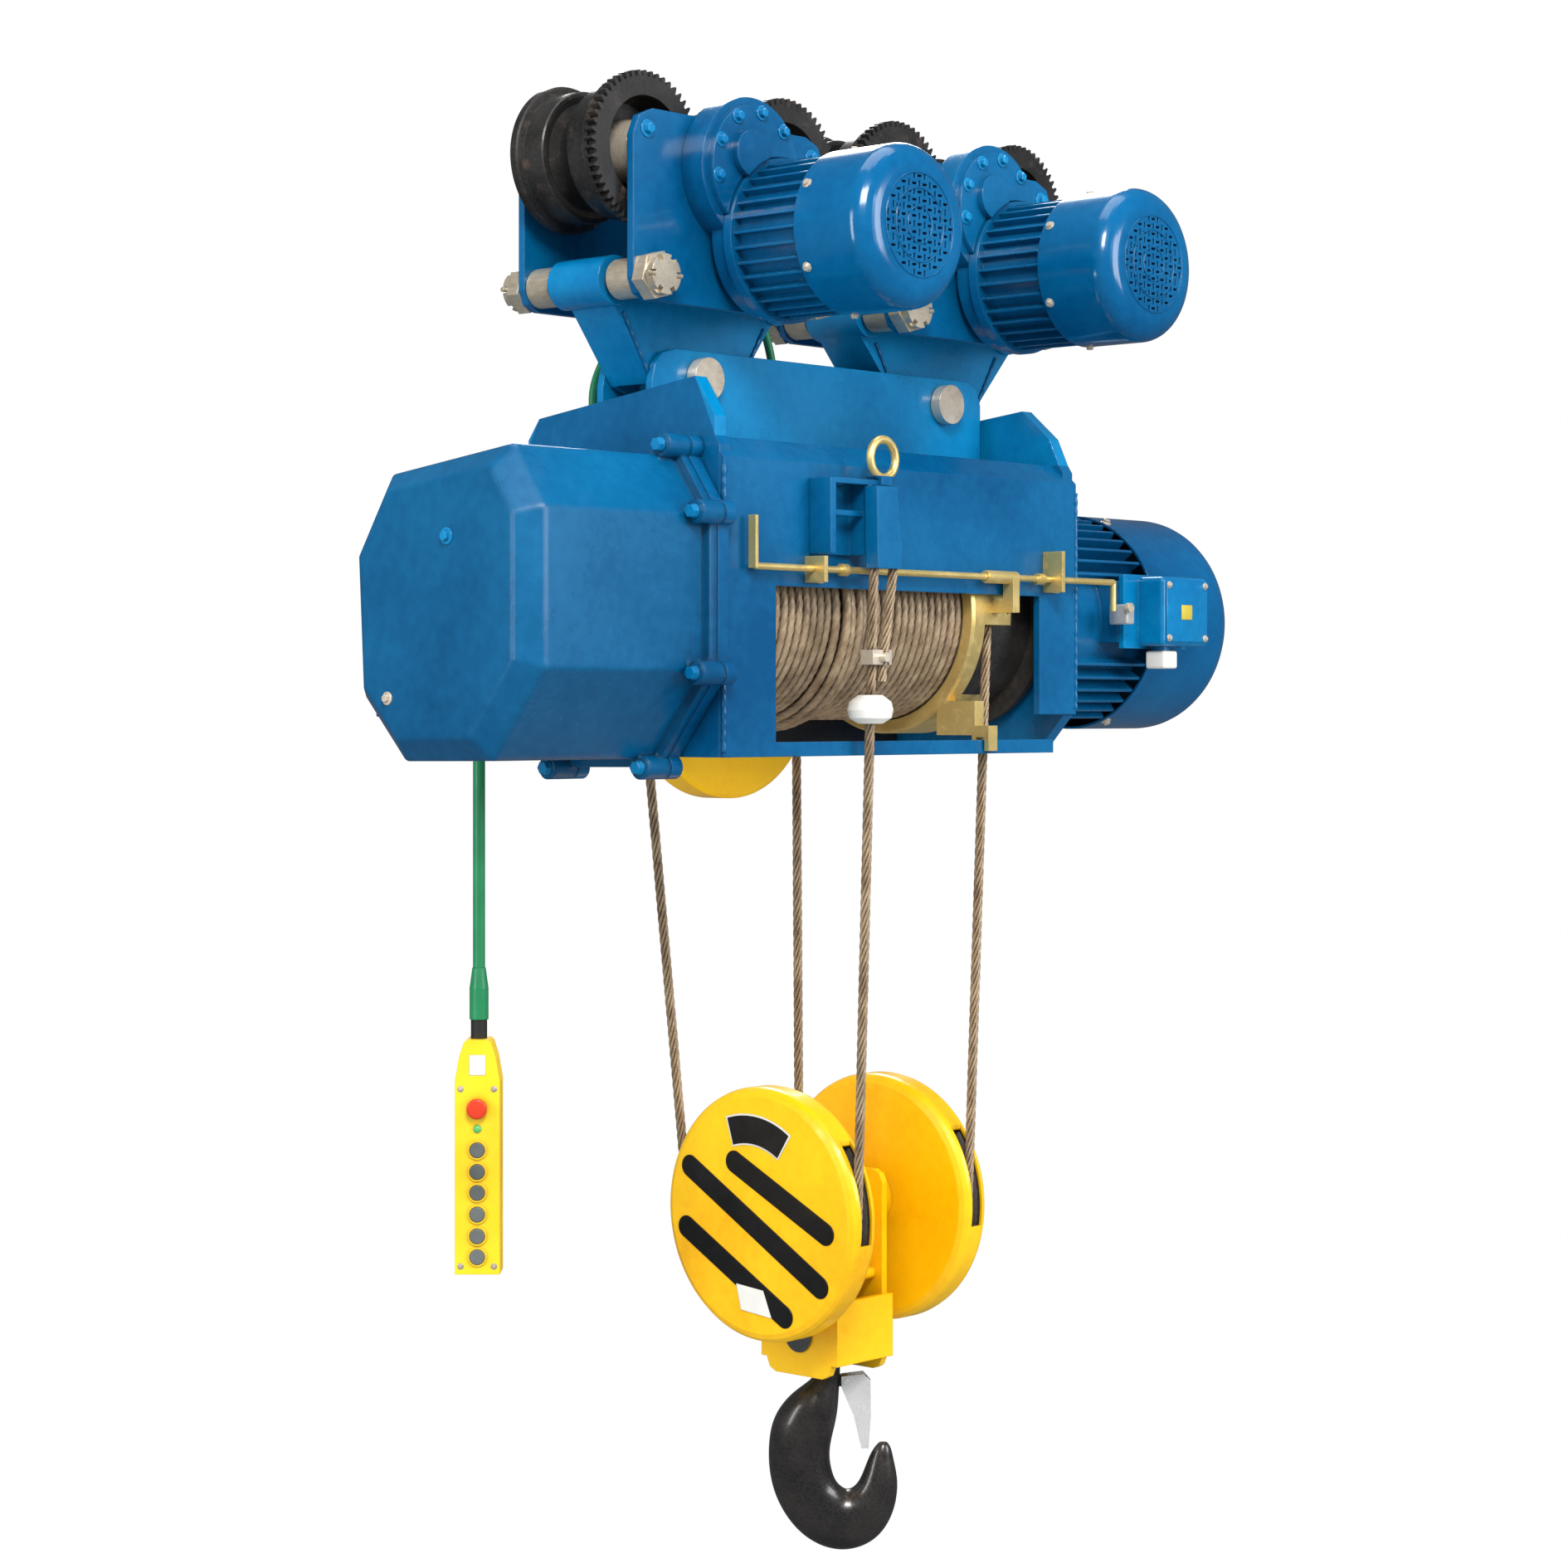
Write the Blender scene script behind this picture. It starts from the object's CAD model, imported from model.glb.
# Electric wire-rope hoist under two trolleys, with a hook block on four rope falls and a pendant.
# Metres, +Z up. The drum and the row of trolleys lie along X; -Y is the front, -X the left.
# The CAD pieces get materials; the ropes, fasteners, weld beads, labels and cables are built here.
import bpy
import bmesh
import math
import random
from mathutils import Matrix, Vector

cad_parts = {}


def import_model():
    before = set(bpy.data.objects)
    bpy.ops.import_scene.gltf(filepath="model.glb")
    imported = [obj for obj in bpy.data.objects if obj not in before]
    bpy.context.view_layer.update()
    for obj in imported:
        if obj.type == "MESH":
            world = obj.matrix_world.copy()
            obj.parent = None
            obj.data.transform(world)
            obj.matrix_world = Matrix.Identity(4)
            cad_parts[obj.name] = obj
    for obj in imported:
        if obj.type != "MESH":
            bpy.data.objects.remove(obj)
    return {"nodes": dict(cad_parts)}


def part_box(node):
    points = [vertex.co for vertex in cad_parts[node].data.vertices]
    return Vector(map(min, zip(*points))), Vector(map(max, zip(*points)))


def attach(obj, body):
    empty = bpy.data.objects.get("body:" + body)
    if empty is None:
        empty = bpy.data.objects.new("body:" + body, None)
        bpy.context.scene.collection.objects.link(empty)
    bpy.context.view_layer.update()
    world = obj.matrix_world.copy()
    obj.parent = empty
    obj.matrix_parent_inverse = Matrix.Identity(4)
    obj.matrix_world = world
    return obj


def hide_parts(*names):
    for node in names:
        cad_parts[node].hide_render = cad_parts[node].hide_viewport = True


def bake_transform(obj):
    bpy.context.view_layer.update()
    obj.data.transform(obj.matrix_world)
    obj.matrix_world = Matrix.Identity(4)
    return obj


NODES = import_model()["nodes"]
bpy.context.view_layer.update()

DRUM_Y, DRUM_Z = -0.020, -0.559                    # drum and hoist motor axis, along X
TROLLEY_X = {"a": -0.345, "b": 0.215}              # middle of each trolley
SHEAVE_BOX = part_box("lower_sheave_left")
BLOCK_Z = (SHEAVE_BOX[0][2] + SHEAVE_BOX[1][2]) / 2


# ---------------------------------------------------------------- materials
class Material:
    """A Principled material, with short calls for the nodes that feed it."""

    def __init__(self, name):
        self.material = bpy.data.materials.new(name)
        self.material.use_nodes = True
        self.tree = self.material.node_tree
        self.tree.nodes.clear()
        output = self.add("ShaderNodeOutputMaterial")
        self.shader = self.add("ShaderNodeBsdfPrincipled")
        self.feed(output.inputs[0], self.shader.outputs[0])
        self.position = self.add("ShaderNodeTexCoord").outputs["Object"]

    def add(self, kind, inputs=None, **settings):
        node = self.tree.nodes.new(kind)
        for key, value in settings.items():
            setattr(node, key, value)
        for key, value in (inputs or {}).items():
            self.feed(node.inputs[key], value)
        return node

    def feed(self, socket, value):
        """Links an output to the socket, or stores a plain value in it."""
        if isinstance(value, bpy.types.NodeSocket):
            self.tree.links.new(value, socket)
        elif socket.type == "RGBA":
            socket.default_value = (*value, 1.0)
        else:
            socket.default_value = value

    def set(self, **inputs):
        for key, value in inputs.items():
            self.feed(self.shader.inputs[key.replace("_", " ")], value)

    def noise(self, scale, detail, rough, stretch=None):
        place = self.position
        if stretch:
            place = self.add("ShaderNodeMapping", {0: place, "Scale": stretch}).outputs[0]
        inputs = {"Scale": scale, "Detail": detail, "Roughness": rough, "Vector": place}
        return self.add("ShaderNodeTexNoise", inputs).outputs["Fac"]

    def ramp(self, factor, stops):
        node = self.add("ShaderNodeValToRGB", {0: factor})
        elements = node.color_ramp.elements
        for element, (position, color) in zip(elements, (stops[0], stops[-1])):
            element.position = position
            element.color = (*color, 1.0)
        for position, color in stops[1:-1]:
            elements.new(position).color = (*color, 1.0)
        return node.outputs[0]

    def mix(self, factor, first, second):
        return self.add("ShaderNodeMix", {0: factor, 6: first, 7: second},
                        data_type="RGBA", blend_type="MIX").outputs[2]

    def math(self, operation, first, second, clamp=False):
        return self.add("ShaderNodeMath", {0: first, 1: second},
                        operation=operation, use_clamp=clamp).outputs[0]

    def times(self, first, second, clamp=False):
        return self.math("MULTIPLY", first, second, clamp)

    def weigh(self, first, share, second, other_share):
        return self.math("ADD", self.times(first, share), self.times(second, other_share))

    def remap(self, value, span, to):
        inputs = dict(enumerate((value, *span, *to)))
        return self.add("ShaderNodeMapRange", inputs).outputs[0]

    def occlusion(self, distance, samples=4):
        return self.add("ShaderNodeAmbientOcclusion", {"Distance": distance},
                        samples=samples).outputs["AO"]

    def bump(self, height, strength, distance, normal=None):
        inputs = {"Strength": strength, "Distance": distance, "Height": height}
        if normal:
            inputs["Normal"] = normal
        return self.add("ShaderNodeBump", inputs).outputs[0]

    def bevel(self, radius):
        return self.add("ShaderNodeBevel", {"Radius": radius}, samples=4).outputs[0]

    def edge_mask(self, radius, span):
        """1 on sharp edges, 0 on flats: how far the bevelled normal leaves the true one."""
        bevelled = self.bevel(radius)
        true = self.add("ShaderNodeNewGeometry").outputs["Normal"]
        dot = self.add("ShaderNodeVectorMath", {0: bevelled, 1: true}, operation="DOT_PRODUCT")
        gap = self.math("SUBTRACT", 1.0, dot.outputs["Value"])
        return self.remap(gap, span=span, to=(0.0, 1.0))


def srgb(*levels):
    """Linear colour from 0-255 sRGB levels."""
    def linear(level):
        share = level / 255
        return share / 12.92 if share <= 0.04045 else ((share + 0.055) / 1.055) ** 2.4
    return tuple(linear(level) for level in levels)


def enamel(name, base, dark, light, chip=(0.23, 0.22, 0.21), wear=0.35, rough=0.2, peel=0.5,
           bevel=0.0028):
    """Glossy paint with dirt in corners and chipped edges; base, dark, light are sRGB levels."""
    base, dark, light = srgb(*base), srgb(*dark), srgb(*light)
    m = Material(name)
    big = m.noise(scale=3.1, detail=3, rough=0.5)
    fine = m.noise(scale=55, detail=3, rough=0.6)
    color = m.ramp(m.weigh(big, 0.75, fine, 0.25), [(0.32, dark), (0.5, base), (0.7, light)])
    dirt = m.remap(m.occlusion(distance=0.05), span=(0.25, 0.85), to=(0.55, 0.0))
    dirt = m.times(dirt, m.noise(scale=24, detail=4, rough=0.6))
    color = m.mix(dirt, color, tuple(v * 0.28 for v in dark))
    edge = m.edge_mask(radius=0.0022, span=(0.03, 0.3))
    spots = m.remap(m.noise(scale=160, detail=5, rough=0.7), span=(0.60, 0.68), to=(0.0, 1.0))
    chips = m.times(m.times(edge, spots), wear, clamp=True)
    color = m.mix(chips, color, chip)
    edge_light = m.times(edge, 0.16)
    color = m.mix(edge_light, color, tuple(min(1.0, v * 1.5 + 0.05) for v in light))
    roughness = m.remap(m.math("ADD", big, m.times(fine, 0.3)), span=(0.4, 0.9),
                        to=(rough, rough + 0.14))
    # fine orange peel, then slow waviness
    normal = m.bump(m.noise(scale=210, detail=2, rough=0.5), strength=0.045 * peel,
                    distance=0.0012, normal=m.bevel(bevel))
    normal = m.bump(m.noise(scale=9, detail=2, rough=0.5), strength=0.10 * peel,
                    distance=0.004, normal=normal)
    m.set(Base_Color=color, Roughness=roughness, Metallic=0.0, Normal=normal,
          Coat_Weight=0.28, Coat_Roughness=0.08, Specular_IOR_Level=0.38, Coat_Normal=normal,
          IOR=1.5)
    return m.material


def metal(name, base, dark, rough=(0.25, 0.5), scratch=(1, 1, 1), bevel=0.0015, rust=None,
          metallic=1.0, oil=0.0, relief=1.0):
    """Metal with fine scratches stretched by scratch, and optional rust patches and oil film."""
    m = Material(name)
    big = m.noise(scale=14, detail=5, rough=0.6)
    lines = m.noise(scale=260, detail=3, rough=0.6, stretch=scratch)
    color = m.ramp(m.weigh(big, 0.6, lines, 0.4), [(0.3, dark), (0.65, base)])
    if rust:
        patches = m.remap(m.noise(scale=38, detail=6, rough=0.65), span=(0.56, 0.70),
                          to=(0.0, 1.0))
        open_faces = m.remap(m.occlusion(distance=0.02), span=(0.2, 1.0), to=(1.0, 0.45))
        patches = m.times(patches, open_faces)
        color = m.mix(patches, color, rust)
        metallic = m.math("SUBTRACT", metallic, m.times(patches, 0.7), clamp=True)
    roughness = m.remap(m.weigh(big, 0.6, lines, 0.4), span=(0.3, 0.7), to=rough)
    normal = m.bump(lines, strength=0.10 * relief, distance=0.0005, normal=m.bevel(bevel))
    m.set(Base_Color=color, Roughness=roughness, Metallic=metallic, Normal=normal)
    if oil:
        m.set(Coat_Weight=oil, Coat_Roughness=0.15)
    return m.material


def plastic(name, base, dark, rough, grain):
    m = Material(name)
    color = m.ramp(m.noise(scale=9, detail=3, rough=0.5), [(0.3, dark), (0.65, base)])
    dirt = m.remap(m.occlusion(distance=0.012), span=(0.3, 0.95), to=(0.55, 0.0))
    color = m.mix(dirt, color, tuple(v * 0.3 for v in dark))
    normal = m.bump(m.noise(scale=900, detail=2, rough=0.5), strength=0.10 * grain,
                    distance=0.0003, normal=m.bevel(0.002))
    roughness = m.remap(m.noise(scale=30, detail=4, rough=0.55), span=(0.3, 0.7),
                        to=(rough - 0.05, rough + 0.1))
    m.set(Base_Color=color, Roughness=roughness, Normal=normal, Specular_IOR_Level=0.5)
    return m.material


def rope_steel():
    """Greasy wires: a fine grain over the strands, dark in the grooves between them."""
    m = Material("wire_rope")
    big = m.noise(scale=30, detail=5, rough=0.6)
    wires = m.noise(scale=1500, detail=2, rough=0.5)
    color = m.ramp(m.weigh(big, 0.5, wires, 0.5), [
        (0.34, srgb(106, 84, 62)), (0.5, srgb(163, 139, 110)), (0.68, srgb(208, 186, 152))])
    grooves = m.remap(m.occlusion(distance=0.006, samples=6), span=(0.3, 0.85), to=(0.8, 0.0))
    color = m.mix(grooves, color, srgb(48, 38, 30))
    normal = m.bump(wires, strength=0.35, distance=0.0006)
    m.set(Base_Color=color, Metallic=0.3,
          Roughness=m.remap(big, span=(0.3, 0.7), to=(0.36, 0.6)),
          Normal=normal, Coat_Weight=0.12, Coat_Roughness=0.3)
    return m.material


# enamels: base, dark and light sRGB levels
BLUE = enamel("blue_enamel", (0, 87, 134), (0, 70, 114), (0, 101, 150))
BLUE_CAST = enamel("blue_enamel_cast", (0, 82, 125), (0, 66, 106), (0, 96, 142),
                   bevel=0.011, peel=0.8)
BLUE_PRESSED = enamel("blue_enamel_pressed", (0, 85, 132), (0, 70, 114), (0, 98, 148),
                      rough=0.12, bevel=0.002, peel=0.35)
BLUE_BRIGHT = enamel("blue_enamel_bright", (0, 118, 170), (0, 98, 150), (0, 132, 186), wear=0.5)
YELLOW = enamel("yellow_enamel", (250, 192, 0), (238, 170, 0), (254, 205, 8),
                chip=(0.28, 0.25, 0.2), wear=0.22, rough=0.26, peel=0.35)
BLACK = enamel("black_enamel", (24, 23, 24), (14, 14, 14), (38, 37, 37),
               wear=0.3, rough=0.32, peel=0.6)
# metals: base and dark linear colours
FORGED = metal("forged_black", (0.058, 0.050, 0.045), (0.012, 0.012, 0.014), rough=(0.22, 0.42),
               bevel=0.003, metallic=0.5, oil=0.6, relief=2.0)
BLACK_CAST = metal("black_cast", (0.05, 0.047, 0.045), (0.012, 0.012, 0.012),
                   rough=(0.38, 0.62), bevel=0.0012, metallic=0.6, rust=(0.10, 0.06, 0.04),
                   oil=0.2, relief=2.0)
PIN = metal("bright_pin", (0.82, 0.73, 0.60), (0.56, 0.47, 0.36), rough=(0.20, 0.40),
            scratch=(0.3, 1, 0.3), rust=(0.42, 0.28, 0.16), metallic=0.55)
SHAFT = metal("plated_shaft", (0.70, 0.61, 0.47), (0.44, 0.37, 0.27), rough=(0.22, 0.42),
              scratch=(1, 0.2, 1), rust=(0.28, 0.17, 0.09), metallic=0.65)
ZINC = metal("yellow_zinc", (0.95, 0.74, 0.30), (0.80, 0.58, 0.20), rough=(0.26, 0.5),
             bevel=0.0012, rust=(0.40, 0.25, 0.10), metallic=0.75)
STEEL = metal("machined_steel", (0.50, 0.50, 0.50), (0.28, 0.28, 0.29), rough=(0.22, 0.42),
              scratch=(0.2, 1, 1), oil=0.3)
LATCH_PLATE = metal("latch_plate", (0.93, 0.92, 0.90), (0.76, 0.75, 0.73), rough=(0.18, 0.36),
                    bevel=0.0008, relief=0.5, metallic=0.5)
ALUMINIUM = metal("cast_aluminium", (0.66, 0.66, 0.65), (0.46, 0.46, 0.46), rough=(0.3, 0.5),
                  metallic=0.5)
DRUM_CAST = metal("dark_cast_drum", (0.11, 0.10, 0.095), (0.035, 0.033, 0.03),
                  rough=(0.42, 0.65), metallic=0.6, rust=(0.10, 0.06, 0.035), relief=2.0)
GREY_CAST = metal("cast_grey", (0.20, 0.19, 0.18), (0.07, 0.065, 0.06), rough=(0.4, 0.65),
                  metallic=0.7, rust=(0.16, 0.09, 0.05), relief=2.0)
# plastics: base and dark colours
GREEN = plastic("green_sheath", srgb(40, 152, 96), srgb(22, 118, 72), rough=0.34, grain=0.3)
PENDANT_YELLOW = plastic("pendant_yellow", srgb(247, 208, 20), srgb(236, 188, 8),
                         rough=0.40, grain=0.8)
GREY = plastic("button_grey", srgb(112, 116, 112), srgb(78, 82, 80), rough=0.38, grain=0.6)
RUBBER = plastic("black_rubber", (0.022, 0.022, 0.022), (0.012, 0.012, 0.012),
                 rough=0.55, grain=1.0)
WHITE = plastic("white_moulding", srgb(232, 230, 222), srgb(206, 202, 192),
                rough=0.45, grain=0.6)
RED = plastic("red_cap", srgb(212, 60, 30), srgb(170, 30, 16), rough=0.28, grain=0.3)
LAMP = plastic("green_lamp", srgb(120, 200, 120), srgb(60, 150, 80), rough=0.15, grain=0.2)
ROPE = rope_steel()
TAG = plastic("blank_tag", srgb(196, 178, 60), srgb(150, 130, 40), rough=0.4, grain=0.2)


# ---------------------------------------------------------------- mesh helpers
def add_object(name, bm, material, sharp_angle=35):
    mesh = bpy.data.meshes.new(name)
    bmesh.ops.recalc_face_normals(bm, faces=bm.faces)
    bm.to_mesh(mesh)
    bm.free()
    ob = bpy.data.objects.new(name, mesh)
    bpy.context.scene.collection.objects.link(ob)
    mesh.materials.append(material)
    for face in mesh.polygons:
        face.use_smooth = True
    mesh.set_sharp_from_angle(angle=math.radians(sharp_angle))
    return ob


def normal_to(axis):
    ref = Vector((0, 0, 1)) if abs(axis.z) < 0.9 else Vector((1, 0, 0))
    return (ref - axis * ref.dot(axis)).normalized()


def circle(bm, origin, axis, along, radius, count):
    """Ring of vertices around the axis, at a distance along it; a single one for radius 0."""
    centre = Vector(origin) + axis * along
    if radius < 1e-7:
        return [bm.verts.new(centre)]
    u = normal_to(axis)
    v = axis.cross(u)
    angles = [math.tau * k / count for k in range(count)]
    return [bm.verts.new(centre + (u * math.cos(a) + v * math.sin(a)) * radius) for a in angles]


def bridge(bm, first, second):
    """Faces between two rings; a ring of one vertex gives a fan, two of them give nothing."""
    for k in range(max(len(first), len(second))):
        corners = [first[k % len(first)], first[(k + 1) % len(first)],
                   second[(k + 1) % len(second)], second[k % len(second)]]
        corners = list(dict.fromkeys(corners))
        if len(corners) > 2:
            bm.faces.new(corners)


def skin(bm, rings, closed=False):
    """Joins rings in order, then either back to the first or with a cap at each end."""
    for first, second in zip(rings, rings[1:]):
        bridge(bm, first, second)
    if closed:
        bridge(bm, rings[-1], rings[0])
    else:
        bm.faces.new(list(reversed(rings[0])))
        bm.faces.new(rings[-1])


def path_frames(points, closed):
    """Tangents, and normals carried along the path without twisting."""
    count = len(points)
    tangents = []
    for i in range(count):
        before = points[(i - 1) % count] if closed else points[max(i - 1, 0)]
        after = points[(i + 1) % count] if closed else points[min(i + 1, count - 1)]
        tangents.append((after - before).normalized())
    normals = [normal_to(tangents[0])]
    for last, tangent in zip(tangents, tangents[1:]):
        turned = last.rotation_difference(tangent) @ normals[-1]
        normals.append((turned - tangent * turned.dot(tangent)).normalized())
    return tangents, normals


def strand_radius(angle, radius, strands):
    """Outline of round strands, each a third of the rope radius, set around the middle."""
    step = math.tau / strands
    off = (angle + step / 2) % step - step / 2
    side = (2 / 3) * radius * math.sin(off)
    reach = math.sqrt(max((radius / 3) ** 2 - side * side, 0.0))
    return (2 / 3) * radius * math.cos(off) + reach


def tube(points, radii, sides, closed=False, twists=None, strands=0):
    """Sweeps a round or stranded section along points, with a radius and a turn for each."""
    bm = bmesh.new()
    tangents, normals = path_frames(points, closed)
    rings = []
    for i, point in enumerate(points):
        side = tangents[i].cross(normals[i])
        twist = twists[i] if twists else 0.0
        ring = []
        for k in range(sides):
            angle = math.tau * k / sides
            radius = strand_radius(angle, radii[i], strands) if strands else radii[i]
            angle += twist
            out = normals[i] * math.cos(angle) + side * math.sin(angle)
            ring.append(bm.verts.new(point + out * radius))
        rings.append(ring)
    skin(bm, rings, closed)
    return bm


def arc_lengths(points):
    lengths = [0.0]
    for a, b in zip(points, points[1:]):
        lengths.append(lengths[-1] + (b - a).length)
    return lengths


def resample(points, step):
    """Points at equal distances along the path, close to step apart."""
    lengths = arc_lengths(points)
    count = max(2, int(lengths[-1] / step))
    out, j = [], 0
    for i in range(count + 1):
        along = lengths[-1] * i / count
        while j < len(lengths) - 2 and lengths[j + 1] < along:
            j += 1
        gap = lengths[j + 1] - lengths[j]
        share = (along - lengths[j]) / gap if gap > 1e-9 else 0
        out.append(points[j].lerp(points[j + 1], share))
    return out


def smooth_path(controls, steps=12):
    """Catmull-Rom curve through the control points."""
    c = [Vector(p) for p in controls]
    c = [c[0] * 2 - c[1]] + c + [c[-1] * 2 - c[-2]]
    out = []
    for p0, p1, p2, p3 in zip(c, c[1:], c[2:], c[3:]):
        for k in range(steps):
            t = k / steps
            out.append(0.5 * ((2 * p1) + (p2 - p0) * t + (2 * p0 - 5 * p1 + 4 * p2 - p3) * t * t
                              + (3 * p1 - p0 - 3 * p2 + p3) * t ** 3))
    out.append(c[-2])
    return out


def rope(name, points, radius=0.0075, step=0.0042, sides=24, replaces=None):
    """Six-strand rope that makes one twist in each lay length."""
    lay = 0.098
    points = resample(points, step)
    twists = [math.tau * along / lay for along in arc_lengths(points)]
    bm = tube(points, [radius] * len(points), sides, twists=twists, strands=6)
    ob = add_object(name, bm, ROPE, sharp_angle=70)
    if replaces:
        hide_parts(replaces)
    return ob


def cable(name, controls):
    points = resample(smooth_path(controls), step=0.01)
    bm = tube(points, [0.0065] * len(points), sides=20)
    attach(add_object(name, bm, GREEN), "hoist_frame")


def bead(name, body, start, end, radius):
    """Straight weld bead: a thin sweep with a rippled radius."""
    points = resample([Vector(start), Vector(end)], step=0.0035)
    rng = random.Random(len(name) * 31 + len(points))
    radii = [radius * (0.86 + 0.22 * rng.random() + 0.10 * math.sin(i * 1.3))
             for i in range(len(points))]
    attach(add_object(name, tube(points, radii, sides=10), BLUE, sharp_angle=60), body)


def turned(name, body, material, profile, centre, axis):
    """Turned piece: profile holds (distance along the axis, radius) points."""
    bm = bmesh.new()
    axis = Vector(axis).normalized()
    rings = [circle(bm, centre, axis, along, radius, 28) for along, radius in profile]
    skin(bm, rings, closed=True)
    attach(add_object(name, bm, material, sharp_angle=30), body)


def rounded_box(name, material, low, high, radius):
    bm = bmesh.new()
    bmesh.ops.create_cube(bm, size=1)
    for vert in bm.verts:
        vert.co = Vector([low[i] + (vert.co[i] + 0.5) * (high[i] - low[i]) for i in range(3)])
    bmesh.ops.bevel(bm, geom=list(bm.edges), offset=radius, segments=3, profile=0.5,
                    affect="EDGES")
    return add_object(name, bm, material, sharp_angle=40)


def hoist_box(name, material, low, high, radius):
    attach(rounded_box(name, material, low, high, radius), "hoist_frame")


def hex_head(bm, seat, axis, flats, height, washer):
    """Chamfered hexagon head, over a round washer (radius, thickness) if there is one."""
    axis = Vector(axis).normalized()
    corner = flats / math.sqrt(3)

    def stack(sections, count):
        skin(bm, [circle(bm, seat, axis, along, radius, count) for along, radius in sections])

    base = 0.0
    if washer:
        radius, base = washer
        stack([(0, radius), (base * 0.7, radius), (base, radius - base * 0.3)], 28)
    stack([(base, corner), (base + height * 0.88, corner), (base + height, corner * 0.87)], 6)


def bolts(name, body, material, places, flats, height, washer=None):
    """Equal hexagon heads in one mesh, at (seat, axis) places."""
    bm = bmesh.new()
    for seat, axis in places:
        hex_head(bm, seat, axis, flats, height, washer)
    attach(add_object(name, bm, material, sharp_angle=30), body)


# ---------------------------------------------------------------- materials of the CAD pieces
def paint(material, names, prefix=""):
    for name in names.split():
        slots = NODES[prefix + name].data.materials
        slots.clear()
        slots.append(material)


def two_tone(name, material, test):
    """Second material on the faces whose centre passes the test."""
    mesh = NODES[name].data
    mesh.materials.append(material)
    for face in mesh.polygons:
        face.material_index = 1 if test(face.center) else 0


def paint_hoist():
    paint(BLUE, "drum_frame gearbox_case motor_housing control_box rope_anchor rope_end_fittings")
    paint(BLUE_CAST, "gearbox_cover")
    paint(BLUE_PRESSED, "motor_fan_cover")
    paint(BLUE_BRIGHT, "motor_terminal_box gearbox_bolts")
    paint(PIN, "hanger_pins")
    paint(ZINC, "limit_switch_brackets rope_guide limit_rod")
    paint(YELLOW, "upper_sheave_guard sheave_cover_left sheave_cover_right block_side_plates "
                  "block_axle")
    paint(GREY_CAST, "upper_sheave lower_sheave_left lower_sheave_right")
    paint(DRUM_CAST, "drum")
    paint(STEEL, "output_gear layshaft_1 layshaft_2 drive_shaft crosshead")
    paint(FORGED, "hook")
    paint(LATCH_PLATE, "hook_latch")
    paint(WHITE, "limit_weight")
    paint(PENDANT_YELLOW, "pendant_body")
    paint(RED, "pendant_emergency_stop")
    paint(GREY, "up down left right forward back", prefix="pendant_button_")
    paint(GREEN, "pendant_cable")
    two_tone("pendant_cable", RUBBER, lambda c: c.z < -1.160)
    two_tone("drum_frame", BLUE_BRIGHT, lambda c: c.z > -0.316)
    two_tone("rope_anchor", ZINC, lambda c: c.z > -0.364)
    two_tone("rope_end_fittings", PIN, lambda c: c.z < -0.6)


def paint_trolley(letter, middle_x):
    prefix = f"trolley_{letter}_"
    paint(BLUE_PRESSED, "fan_cover", prefix)
    paint(BLUE, "side_plates travel_reducer travel_motor", prefix)
    paint(BLUE_BRIGHT, "yoke", prefix)
    paint(SHAFT, "cross_shafts", prefix)
    paint(STEEL, "pinion", prefix)
    paint(BLACK_CAST, "wheels_left wheels_right", prefix)
    for side, sign in (("left", -1), ("right", 1)):
        x = middle_x + sign * 0.150
        two_tone(prefix + "wheels_" + side, PIN,      # bright hubs at both ends
                 lambda c: math.hypot(c.x - x, c.z - 0.095) < 0.0465 and abs(c.y) > 0.045)


# ---------------------------------------------------------------- wire rope
COIL_R = 0.155                  # rope centre on the drum
PITCH = 0.016                   # between neighbouring turns
TURN_STEPS = 96                 # path points in each turn
COIL_TURNS, COIL_END_X = 32.4, 0.126
LEAD_TURNS, LEAD_END_X = 2.0, 0.179                # the hoist fall leaves the drum at the end
LEAD_END_ANGLE = math.radians(-4)
SLACK_X, SLACK_REACH = -0.160, 0.034               # middle and half width of the slack turns
FALL_X, LOWER_R = 0.131, 0.175                     # rope on the two lower sheaves
UPPER_X, UPPER_Z, UPPER_R = -0.055, -0.651, 0.178  # rope on the upper sheave
SOCKET = Vector((-0.206, -0.272, -0.470))          # dead end of the rope


def drum_point(x, angle, radius=COIL_R):
    """Angle 0 is the front (-Y) of the drum; it grows upwards over the top."""
    return Vector((x, DRUM_Y - radius * math.cos(angle), DRUM_Z + radius * math.sin(angle)))


def drum_turns():
    """Turns on the drum; a few hang slack below it and one crosses its neighbour."""
    points = []
    for i in range(int(COIL_TURNS * TURN_STEPS) + 1):
        angle = math.tau * i / TURN_STEPS
        x = COIL_END_X - COIL_TURNS * PITCH + PITCH * i / TURN_STEPS
        wobble = 0.0007 * math.sin(angle * 0.37) + 0.0005 * math.sin(angle * 1.13 + 1)
        slack = max(0.0, 1 - ((x - SLACK_X) / SLACK_REACH) ** 2) ** 0.6
        low = 0.5 * (1 - math.sin(angle))              # 1 at the bottom of the drum
        radius = COIL_R + 0.0135 * slack * low ** 1.4 + 0.004 * slack
        cross = 0.0085 * slack * math.sin(angle * 0.5 + 0.4)
        points.append(drum_point(x + wobble + cross, angle, radius))
    coil = rope("drum_rope_turns", points, radius=0.0076, step=0.0048, sides=18,
                replaces="rope_on_drum")
    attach(coil, "drum")


def straight(start, end):
    """Thirty points from start to end, without start itself."""
    return [start.lerp(end, k / 30) for k in range(1, 31)]


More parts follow.
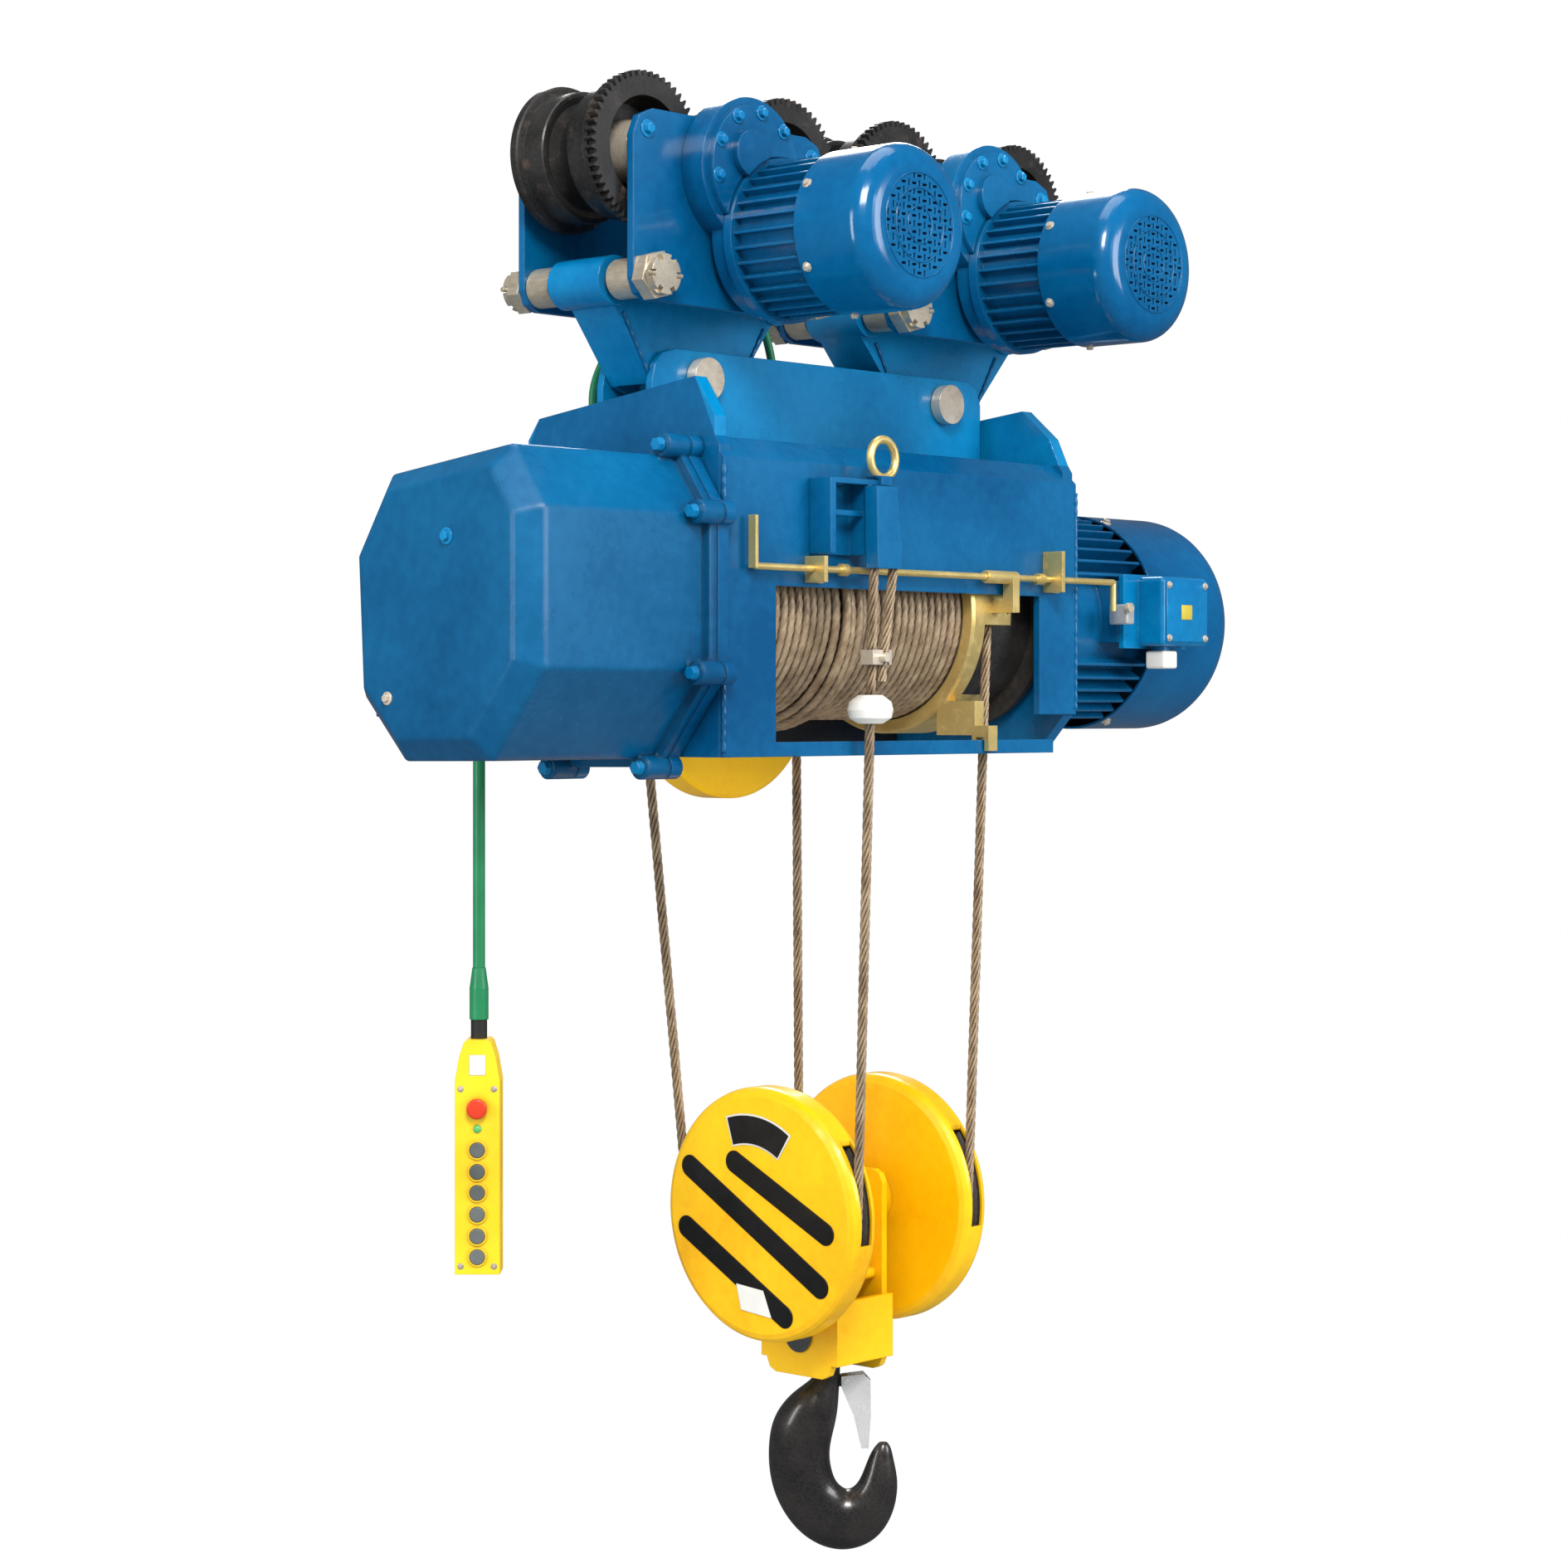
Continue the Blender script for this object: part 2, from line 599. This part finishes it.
def upper_tangent(x, side):
    """Where a fall from (x, BLOCK_Z) touches the upper sheave: the point and its angle."""
    dx, dz = UPPER_X - x, UPPER_Z - BLOCK_Z
    distance = math.hypot(dx, dz)
    slope = math.atan2(dz, dx) - side * math.asin(UPPER_R / distance)
    length = math.sqrt(distance * distance - UPPER_R * UPPER_R)
    touch = Vector((x + length * math.cos(slope), LOWER_R, BLOCK_Z + length * math.sin(slope)))
    angle = math.atan2(BLOCK_Z + length * math.sin(slope) - UPPER_Z,
                       x + length * math.cos(slope) - UPPER_X)
    return touch, angle % math.tau


def rope_falls():
    """Drum, right lower sheave, upper sheave, left lower sheave, socket."""
    lead = []
    start_x = LEAD_END_X - LEAD_TURNS * PITCH - 0.004
    steps = int(LEAD_TURNS * TURN_STEPS)
    for i in range(steps + 1):
        k = i / steps
        angle = LEAD_END_ANGLE + math.tau * LEAD_TURNS * (1 - k)
        lead.append(drum_point(start_x + (LEAD_END_X - start_x) * k, angle))
    drum_exit = drum_point(LEAD_END_X, LEAD_END_ANGLE)

    # half turns under the lower sheaves: right from front to rear, left from rear to front
    right = [Vector((FALL_X, -LOWER_R * math.cos(math.pi * i / 24),
                     BLOCK_Z - LOWER_R * math.sin(math.pi * i / 24))) for i in range(25)]
    left = [Vector((-FALL_X, p.y, p.z)) for p in reversed(right)]

    left_touch, left_angle = upper_tangent(-FALL_X, side=-1)
    right_touch, right_angle = upper_tangent(FALL_X, side=1)
    over = []
    for i in range(41):
        angle = right_angle + (left_angle - right_angle) * i / 40
        over.append(Vector((UPPER_X + UPPER_R * math.cos(angle), LOWER_R,
                            UPPER_Z + UPPER_R * math.sin(angle))))

    right_front = Vector((FALL_X, -LOWER_R, BLOCK_Z))
    right_rear = Vector((FALL_X, LOWER_R, BLOCK_Z))
    left_rear = Vector((-FALL_X, LOWER_R, BLOCK_Z))
    left_front = Vector((-FALL_X, -LOWER_R, BLOCK_Z))
    # name, path, height where the stretch between frame and block begins, CAD node replaced
    falls = (
        ("rope_fall_drum", lead + straight(drum_exit, right_front) + right[1:13],
         -0.66, "rope_falls"),
        ("rope_fall_rear_right", right[12:] + straight(right_rear, right_touch) + over[1:21],
         -0.80, None),
        ("rope_fall_rear_left", over[20:] + straight(left_touch, left_rear) + left[1:13],
         -0.80, None),
        ("rope_fall_dead_end", left[12:] + straight(left_front, SOCKET), -0.76, None),
    )
    for name, points, top_z, replaces in falls:
        ob = rope(name, points, replaces=replaces)
        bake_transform(ob)


def rope_tail():
    controls = [(-0.168, -0.275, -0.48), (-0.168, -0.275, -0.503), (-0.171, -0.270, -0.56),
                (-0.1768, -0.264, -0.63), (-0.178, -0.262, -0.664)]
    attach(rope("rope_tail", smooth_path(controls)), "hoist_frame")


# ---------------------------------------------------------------- left sheave cover markings
COVER_Z = -1.474                # centre of the cover, at y = 0
COVER_R = 0.158                 # stripe ends stay within this
COVER_X = -0.1601               # flat outer face
STRIPE_WIDTH = 0.034
# ends of the stripes' centre lines, (y, z)
STRIPES = (
    ((0.0485, -1.3965), (-0.1372, -1.4887)),
    ((0.1414, -1.4113), (-0.1372, -1.5779)),
    ((0.1485, -1.5058), (-0.0590, -1.6333)),
)
LABEL = [(0.0435, -1.582), (-0.0124, -1.587), (-0.0293, -1.627), (0.0332, -1.621)]   # (y, z)


def cover_shape(name, outlines, material, x, thickness):
    """Flat (y, z) outlines at x, thickened outwards (-X)."""
    bm = bmesh.new()
    for outline in outlines:
        face = bm.faces.new([bm.verts.new((x, y, z)) for y, z in outline])
        extruded = bmesh.ops.extrude_face_region(bm, geom=[face])["geom"]
        for item in extruded:
            if isinstance(item, bmesh.types.BMVert):
                item.co.x -= thickness
    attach(add_object(name, bm, material, sharp_angle=30), "hook_block")


def stadium(start, end):
    """Stripe outline with round ends."""
    heading = math.atan2(end[1] - start[1], end[0] - start[0])
    points = []
    for (y, z), facing in ((end, heading), (start, heading + math.pi)):
        for k in range(15):
            angle = facing - math.pi / 2 + math.pi * k / 14
            points.append((y + STRIPE_WIDTH / 2 * math.cos(angle),
                           z + STRIPE_WIDTH / 2 * math.sin(angle)))
    return points


def within_cover(y, z):
    z -= COVER_Z
    k = min(1.0, COVER_R / math.hypot(y, z))
    return y * k, COVER_Z + z * k


def fan_plate(grow):
    """Ring sector above the cover's centre, shifted to +Y and grown on all sides."""
    inner, outer, middle, shift_y = 0.108 - grow, 0.150 + grow, 0.13, 0.018
    start = math.radians(107) + grow / middle
    end = math.radians(57) - grow / middle

    def arc(radius, first, last):
        angles = [first + (last - first) * k / 16 for k in range(17)]
        return [(shift_y - radius * math.cos(a), COVER_Z + radius * math.sin(a)) for a in angles]

    return arc(outer, start, end) + arc(inner, end, start)


def cover_markings():
    stripes = [stadium(within_cover(*start), within_cover(*end)) for start, end in STRIPES]
    cover_shape("cover_stripes", stripes, BLACK, COVER_X, thickness=0.0010)
    cover_shape("cover_plate_border", [fan_plate(0.0030)], WHITE, COVER_X, thickness=0.0008)
    cover_shape("cover_plate", [fan_plate(0.0)], BLACK, x=-0.1608, thickness=0.0008)
    cover_shape("cover_label", [LABEL], WHITE, x=-0.1610, thickness=0.0006)


# ---------------------------------------------------------------- trolleys
def trolley_details(letter, middle_x):
    body = "trolley_" + letter
    motor_x, motor_z = middle_x + 0.058, -0.023
    cover_r, reducer_r, reducer_z = 0.1178, 0.083, 0.075

    places = []
    for k in range(6):
        angle = math.radians(30 + 60 * k)
        out = (math.cos(angle), 0, math.sin(angle))
        places.append(((motor_x + cover_r * out[0], -0.304, motor_z + cover_r * out[2]), out))
    bolts(body + "_cover_screws", body, PIN, places, 0.009, 0.004, washer=(0.0075, 0.0012))

    places = []
    for k in range(10):
        angle = math.tau * k / 10 + 0.2
        x = middle_x + reducer_r * math.cos(angle)
        z = reducer_z + reducer_r * math.sin(angle)
        if math.hypot(x - motor_x, z - motor_z) > 0.130:       # clear of the motor
            places.append(((x, -0.1679, z), (0, -1, 0)))
    bolts(body + "_reducer_bolts", body, BLUE_BRIGHT, places, 0.012, 0.007,
          washer=(0.011, 0.002))

    places = [((middle_x + side * 0.175, face * 0.117, 0.118), (0, face, 0))
              for side in (-1, 1) for face in (-1, 1)]
    bolts(body + "_plate_bolts", body, BLUE_BRIGHT, places, 0.014, 0.008, washer=(0.013, 0.002))

    # grille rings on the front (-Y) of the fan cover
    for radius in (0.026, 0.052, 0.074):
        angles = [math.tau * k / 64 for k in range(64)]
        ring = [Vector((motor_x + radius * math.cos(a), -0.4252, motor_z + radius * math.sin(a)))
                for a in angles]
        bm = tube(ring, [0.0013] * len(ring), sides=8, closed=True)
        name = "%s_grille_ring_%d" % (body, int(radius * 1000))
        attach(add_object(name, bm, BLUE_PRESSED), body)


# ---------------------------------------------------------------- hoist frame
TERMINAL_Y = -0.2668            # front of the terminal box cover
DOOR_Y = 0.3335                 # rear of the control box door
GEARBOX_X = -0.8500             # left end of the gearbox


def motor_details():
    def around(x, radius, degrees):
        """A point around the motor axis, and the direction out to it."""
        angle = math.radians(degrees)
        out = (0, math.cos(angle), math.sin(angle))
        return (x, DRUM_Y + radius * out[1], DRUM_Z + radius * out[2]), out

    # eight screw places, without the two nearest the front
    places = [around(0.606, 0.1788, 22.5 + 45 * k) for k in (0, 1, 2, 5, 6, 7)]
    bolts("motor_cover_screws", "hoist_frame", PIN, places, 0.010, 0.005, washer=(0.009, 0.0015))
    places = [(around(0.364, 0.161, 15 + 30 * k)[0], (1, 0, 0)) for k in range(12)]
    bolts("motor_flange_bolts", "hoist_frame", BLUE_BRIGHT, places, 0.013, 0.0055)

    hoist_box("terminal_box_cover", BLUE_BRIGHT, (0.530, TERMINAL_Y, -0.5955),
              (0.644, -0.2642, -0.4965), radius=0.0012)
    places = [((x, TERMINAL_Y, z), (0, -1, 0)) for x in (0.537, 0.637) for z in (-0.589, -0.503)]
    bolts("terminal_box_screws", "hoist_frame", PIN, places, 0.007, 0.003, washer=(0.006, 0.001))
    hoist_box("terminal_box_tag", TAG, (0.570, TERMINAL_Y - 0.0008, -0.559),
              (0.600, TERMINAL_Y, -0.535), radius=0.0003)
    hoist_box("terminal_box_plug", WHITE, (0.541, -0.2535, -0.6385),
              (0.579, -0.2155, -0.6095), radius=0.004)
    hoist_box("limit_switch_body", ALUMINIUM, (0.4545, -0.2420, -0.5680),
              (0.4760, -0.2060, -0.5360), radius=0.003)
    turned("limit_switch_roller", "hoist_frame", PIN,
           [(-0.004, 0), (-0.004, 0.008), (0.004, 0.008), (0.004, 0)],
           centre=(0.4545, -0.2470, -0.5420), axis=(0, 1, 0))


def frame_details():
    seats = ((-0.279, -0.493), (-0.279, -0.513), (0.283, -0.468), (0.283, -0.512))     # (x, z)
    places = [((x, -0.226, z), (0, -1, 0)) for x, z in seats]
    bolts("limit_bracket_screws", "hoist_frame", ZINC, places, 0.010, 0.005,
          washer=(0.009, 0.0015))
    bolts("gearbox_drain_plug", "hoist_frame", PIN, [((GEARBOX_X, 0.0606, -0.690), (-1, 0, 0))],
          0.010, 0.005, washer=(0.0095, 0.002))
    bolts("gearbox_filler_plug", "hoist_frame", BLUE_BRIGHT,
          [((GEARBOX_X, -0.060, -0.470), (-1, 0, 0))], 0.013, 0.006, washer=(0.012, 0.002))

    hoist_box("control_box_door", BLUE_BRIGHT, (-0.630, 0.3302, -0.7060),
              (-0.320, DOOR_Y, -0.4500), radius=0.0015)
    places = [((x, DOOR_Y, z), (0, 1, 0))
              for x in (-0.615, -0.475, -0.335) for z in (-0.694, -0.462)]
    bolts("control_box_screws", "hoist_frame", PIN, places, 0.010, 0.004, washer=(0.009, 0.0012))
    hoist_box("control_box_plate", WHITE, (-0.510, DOOR_Y, -0.600),
              (-0.430, DOOR_Y + 0.001, -0.550), radius=0.0004)

    # dark sheet low on the rear side of the drum
    hoist_box("frame_inner_sheet", BLACK, (-0.450, 0.132, -0.766), (0.330, 0.136, -0.690),
              radius=0.0006)


def weld_beads():
    for i, y in enumerate((-0.0585, 0.0585)):
        bead(f"hanger_bead_{i}", "hoist_frame", (-0.440, y, -0.3165), (0.300, y, -0.3165), 0.0042)
    for side, x, low_z, high_z in (("left", -0.4705, -0.765, -0.360),
                                   ("right", 0.3475, -0.705, -0.362)):
        bead("frame_bead_" + side, "hoist_frame", (x, -0.2195, low_z), (x, -0.2195, high_z),
             0.0036)
    for letter, middle_x in TROLLEY_X.items():
        for i, side in enumerate((-1, 1)):
            bead(f"yoke_bead_{letter}_{i}", "trolley_" + letter,
                 (middle_x + side * 0.150, -0.0440, -0.1340),
                 (middle_x + side * 0.096, -0.0440, -0.2220), 0.003)


def travel_cables():
    """Green cables between the hoist and trolley a."""
    cable("travel_cable_rear", [
        (-0.300, 0.128, -0.095), (-0.322, 0.150, -0.150), (-0.345, 0.165, -0.215),
        (-0.344, 0.165, -0.270), (-0.330, 0.150, -0.312)])
    cable("travel_cable_front", [
        (-0.172, 0.0, -0.070), (-0.153, 0.0, -0.110), (-0.130, 0.0, -0.170),
        (-0.120, 0.0, -0.240), (-0.128, 0.004, -0.316)])


# ---------------------------------------------------------------- pendant
PENDANT_X, PENDANT_Y = -0.545, 0.205
PENDANT_TURN = math.radians(42)
PENDANT_FACE = 0.0288           # from the pendant's middle to its button face
ACROSS = Vector((math.sin(PENDANT_TURN), -math.cos(PENDANT_TURN), 0))
OUT = Vector((-math.cos(PENDANT_TURN), -math.sin(PENDANT_TURN), 0))    # out of the button face


def pendant_box(name, material, low, high, radius):
    """Box given in the pendant's own axes: across, out, up."""
    ob = rounded_box(name, material, low, high, radius)
    ob.data.transform(Matrix(((ACROSS.x, OUT.x, 0, PENDANT_X), (ACROSS.y, OUT.y, 0, PENDANT_Y),
                              (0, 0, 1, 0), (0, 0, 0, 1))))
    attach(ob, "pendant")


def pendant_details():
    pendant_box("pendant_patch", WHITE, (-0.012, PENDANT_FACE, -1.242),
                (0.012, PENDANT_FACE + 0.0008, -1.212), radius=0.0006)
    pendant_box("pendant_seam", RUBBER, (-0.0332, -0.0006, -1.531), (0.0332, 0.0006, -1.252),
                radius=0.0003)
    turned("pendant_lamp", "pendant", LAMP,
           [(0, 0.0062), (0.0012, 0.0062), (0.0030, 0.0048), (0.0042, 0.0026), (0.0046, 0),
            (0, 0)],
           centre=Vector((PENDANT_X, PENDANT_Y, -1.3205)) + OUT * 0.0285, axis=OUT)
    places = [(Vector((PENDANT_X, PENDANT_Y, z)) + ACROSS * across + OUT * PENDANT_FACE, OUT)
              for across in (-0.0245, 0.0245) for z in (-1.262, -1.522)]
    bolts("pendant_screws", "pendant", PIN, places, 0.006, 0.0012, washer=(0.0048, 0.0006))


# ---------------------------------------------------------------- world, lights, camera
def studio_world():
    """White to the camera, cool light on surfaces, and a dim version in reflections."""
    world = bpy.data.worlds.new("studio")
    bpy.context.scene.world = world
    world.use_nodes = True
    nodes, link = world.node_tree.nodes, world.node_tree.links.new
    nodes.clear()

    def background(color, strength):
        node = nodes.new("ShaderNodeBackground")
        node.inputs[0].default_value = (*color, 1)
        node.inputs[1].default_value = strength
        return node

    output = nodes.new("ShaderNodeOutputWorld")
    surfaces = background((0.90, 0.95, 1.0), strength=0.85)
    backdrop = background((1.0, 1.0, 1.0), strength=1.0)
    camera_mix = nodes.new("ShaderNodeMixShader")
    path = nodes.new("ShaderNodeLightPath")
    reflections = background((0.86, 0.93, 1.0), strength=0.12)
    glossy_mix = nodes.new("ShaderNodeMixShader")
    for mix, ray, first, second in (
            (glossy_mix, "Is Glossy Ray", surfaces, reflections),
            (camera_mix, "Is Camera Ray", glossy_mix, backdrop)):
        link(path.outputs[ray], mix.inputs[0])
        link(first.outputs[0], mix.inputs[1])
        link(second.outputs[0], mix.inputs[2])
    link(camera_mix.outputs[0], output.inputs[0])


def area(name, at, aim, size, power, color=(1, 1, 1), size_y=None):
    light = bpy.data.lights.new(name, "AREA")
    light.energy = power
    light.size = size
    if size_y:
        light.shape = "RECTANGLE"
        light.size_y = size_y
    light.color = color
    ob = bpy.data.objects.new(name, light)
    bpy.context.scene.collection.objects.link(ob)
    ob.location = at
    ob.rotation_euler = (Vector(aim) - Vector(at)).to_track_quat("-Z", "Y").to_euler()


def lights():
    area("key", at=(-3.2, -3.4, 2.6), aim=(0, 0, -0.6), size=1.6, power=260,
         color=(1.0, 0.98, 0.95))
    area("fill", at=(1.2, -4.8, 0.6), aim=(0, 0, -0.7), size=2.2, power=130,
         color=(0.95, 0.97, 1.0))
    area("rim", at=(3.5, 3.5, 2.6), aim=(0, 0, -0.4), size=2.4, power=150)
    area("strip", at=(-4.6, 0.6, -0.2), aim=(-0.5, 0, -0.6), size=0.7, power=60, size_y=2.6)
    area("top", at=(0, 0, 4.2), aim=(0, 0, 0), size=3.5, power=110)


def camera():
    data = bpy.data.cameras.new("camera")
    ob = bpy.data.objects.new("camera", data)
    bpy.context.scene.collection.objects.link(ob)
    bpy.context.scene.camera = ob
    data.sensor_width = 36
    data.lens = 77.047619
    data.shift_y = -0.047619048
    data.clip_end = 200
    ob.location = (-3.923, -3.442, -0.705)
    view = Vector((0.7431, 0.6691, 0))                 # level, towards the rear right
    ob.rotation_euler = view.to_track_quat("-Z", "Y").to_euler()
    bpy.context.scene.view_settings.view_transform = "Standard"


paint_hoist()
for letter, middle_x in TROLLEY_X.items():
    paint_trolley(letter, middle_x)
drum_turns()
rope_falls()
rope_tail()
cover_markings()
for letter, middle_x in TROLLEY_X.items():
    trolley_details(letter, middle_x)
motor_details()
frame_details()
weld_beads()
travel_cables()
pendant_details()
studio_world()
lights()
camera()
